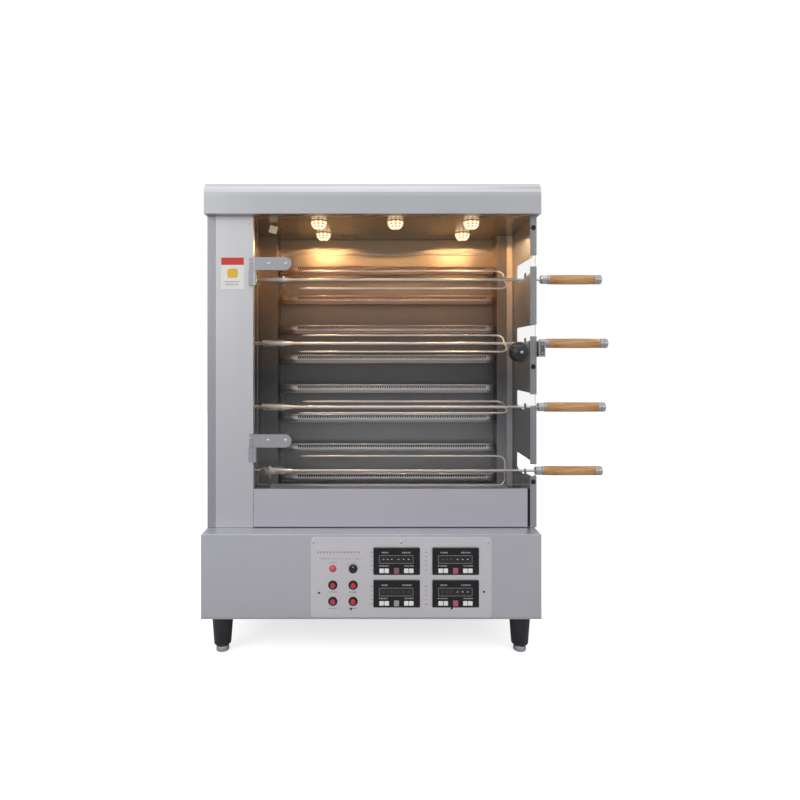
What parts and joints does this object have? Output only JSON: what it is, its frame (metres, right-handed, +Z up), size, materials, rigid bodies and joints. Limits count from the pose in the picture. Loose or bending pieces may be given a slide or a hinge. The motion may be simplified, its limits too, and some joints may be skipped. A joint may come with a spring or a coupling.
{
  "type": "rotisserie oven",
  "caption": "Free-standing vertical rotisserie oven with stacked wood-handled spits, a side-hinged glass door, rear heaters, a drip drawer and a control base on feet.",
  "frame": {"origin": "middle of the whole part's box in X and Y, on the floor under the feet", "axes": "+Z up; -Y is the front, where the door and controls face; +X is the side the spit handles stand out of"},
  "size_m": [1.297, 0.563, 1.403],
  "materials": {
    "brushed_stainless": "brushed, satin",
    "polished_stainless": "polished, heat-tinted",
    "spit_steel": "bright drawn wire and rod",
    "bright_steel": "polished pressings",
    "motor_steel": "cast gearbox and plated can",
    "beech_wood": "turned, lightly oiled",
    "black_plastic": "moulded, semi-gloss",
    "foot_plastic": "moulded, satin",
    "red_plastic": "moulded, glossy",
    "red_lens": "translucent lens",
    "lamp_glass": "ribbed heat-resistant glass, lit",
    "door_glass": "clear toughened"
  },
  "bodies": {
    "cabinet": {"base_housing": "brushed_stainless", "base_floor_plate": "brushed_stainless", "left_side_panel": "brushed_stainless", "column_front_panel": "brushed_stainless", "right_side_wall": "brushed_stainless", "rear_cover": "brushed_stainless", "hood": "brushed_stainless", "control_panel": "brushed_stainless", "inner_left_wall": "polished_stainless", "back_wall": "polished_stainless", "ceiling_panel": "polished_stainless", "heater_bank_1": "polished_stainless", "heater_bank_2": "polished_stainless", "heater_bank_3": "polished_stainless", "heater_bank_4": "polished_stainless", "gear_motor_1": "motor_steel", "controller_1": "black_plastic", "gear_motor_2": "motor_steel", "controller_2": "black_plastic", "gear_motor_3": "motor_steel", "controller_3": "black_plastic", "gear_motor_4": "motor_steel", "controller_4": "black_plastic", "lamp_1": "lamp_glass", "lamp_2": "lamp_glass", "lamp_3": "lamp_glass", "lamp_4": "lamp_glass", "lamp_5": "lamp_glass", "hinge_bracket_upper": "bright_steel", "hinge_bracket_lower": "bright_steel", "door_catch": "bright_steel", "cable_gland": "black_plastic", "power_indicator": "red_lens", "foot_front_left": "foot_plastic", "foot_front_right": "foot_plastic", "foot_rear_left": "foot_plastic", "foot_rear_right": "foot_plastic"},
    "door": {"door_glass": "door_glass", "hinge_clamp_upper": "bright_steel", "hinge_clamp_lower": "bright_steel", "door_knob": "black_plastic"},
    "drawer": {"drip_drawer": "brushed_stainless"},
    "selector": {"selector_knob": "black_plastic"},
    "driver_1": {"drive_shaft_1": "spit_steel"},
    "spit_assembly_1": {"spit_1": "spit_steel", "spit_handle_1": "beech_wood"},
    "button_1": {"push_button_1": "red_plastic"},
    "driver_2": {"drive_shaft_2": "spit_steel"},
    "spit_assembly_2": {"spit_2": "spit_steel", "spit_handle_2": "beech_wood"},
    "button_2": {"push_button_2": "red_plastic"},
    "driver_3": {"drive_shaft_3": "spit_steel"},
    "spit_assembly_3": {"spit_3": "spit_steel", "spit_handle_3": "beech_wood"},
    "button_3": {"push_button_3": "red_plastic"},
    "driver_4": {"drive_shaft_4": "spit_steel"},
    "spit_assembly_4": {"spit_4": "spit_steel", "spit_handle_4": "beech_wood"},
    "button_4": {"push_button_4": "red_plastic"}
  },
  "joints": [
    {"name": "door_swing", "type": "hinge", "parent": "cabinet", "child": "door", "pos_m": [-0.4985, -0.2115, 0.489], "axis": [0, 0, -1], "range_deg": [0, 120]},
    {"name": "drawer_slide", "type": "slide", "parent": "cabinet", "child": "drawer", "axis": [0, -1, 0], "range_m": [0, 0.25]},
    {"name": "spit_spin_1", "type": "hinge", "parent": "cabinet", "child": "driver_1", "pos_m": [-0.5455, -0.0225, 1.135], "axis": [1, 0, 0], "continuous": true},
    {"name": "spit_pull_1", "type": "slide", "parent": "driver_1", "child": "spit_assembly_1", "axis": [1, 0, 0], "range_m": [0, 0.04]},
    {"name": "spit_spin_2", "type": "hinge", "parent": "cabinet", "child": "driver_2", "pos_m": [-0.5455, -0.0225, 0.9217], "axis": [1, 0, 0], "continuous": true},
    {"name": "spit_pull_2", "type": "slide", "parent": "driver_2", "child": "spit_assembly_2", "axis": [1, 0, 0], "range_m": [0, 0.04]},
    {"name": "spit_spin_3", "type": "hinge", "parent": "cabinet", "child": "driver_3", "pos_m": [-0.5455, -0.0225, 0.7083], "axis": [1, 0, 0], "continuous": true},
    {"name": "spit_pull_3", "type": "slide", "parent": "driver_3", "child": "spit_assembly_3", "axis": [1, 0, 0], "range_m": [0, 0.04]},
    {"name": "spit_spin_4", "type": "hinge", "parent": "cabinet", "child": "driver_4", "pos_m": [-0.5455, -0.0225, 0.495], "axis": [1, 0, 0], "continuous": true},
    {"name": "spit_pull_4", "type": "slide", "parent": "driver_4", "child": "spit_assembly_4", "axis": [1, 0, 0], "range_m": [0, 0.04]},
    {"name": "button_press_1", "type": "slide", "parent": "cabinet", "child": "button_1", "axis": [0, 1, 0], "range_m": [0, 0.003], "stiffness_N_per_m": 400},
    {"name": "button_press_2", "type": "slide", "parent": "cabinet", "child": "button_2", "axis": [0, 1, 0], "range_m": [0, 0.003], "stiffness_N_per_m": 400},
    {"name": "button_press_3", "type": "slide", "parent": "cabinet", "child": "button_3", "axis": [0, 1, 0], "range_m": [0, 0.003], "stiffness_N_per_m": 400},
    {"name": "button_press_4", "type": "slide", "parent": "cabinet", "child": "button_4", "axis": [0, 1, 0], "range_m": [0, 0.003], "stiffness_N_per_m": 400},
    {"name": "selector_turn", "type": "hinge", "parent": "cabinet", "child": "selector", "pos_m": [-0.1985, -0.2728, 0.257], "axis": [0, 1, 0], "range_deg": [0, 90]}
  ]
}
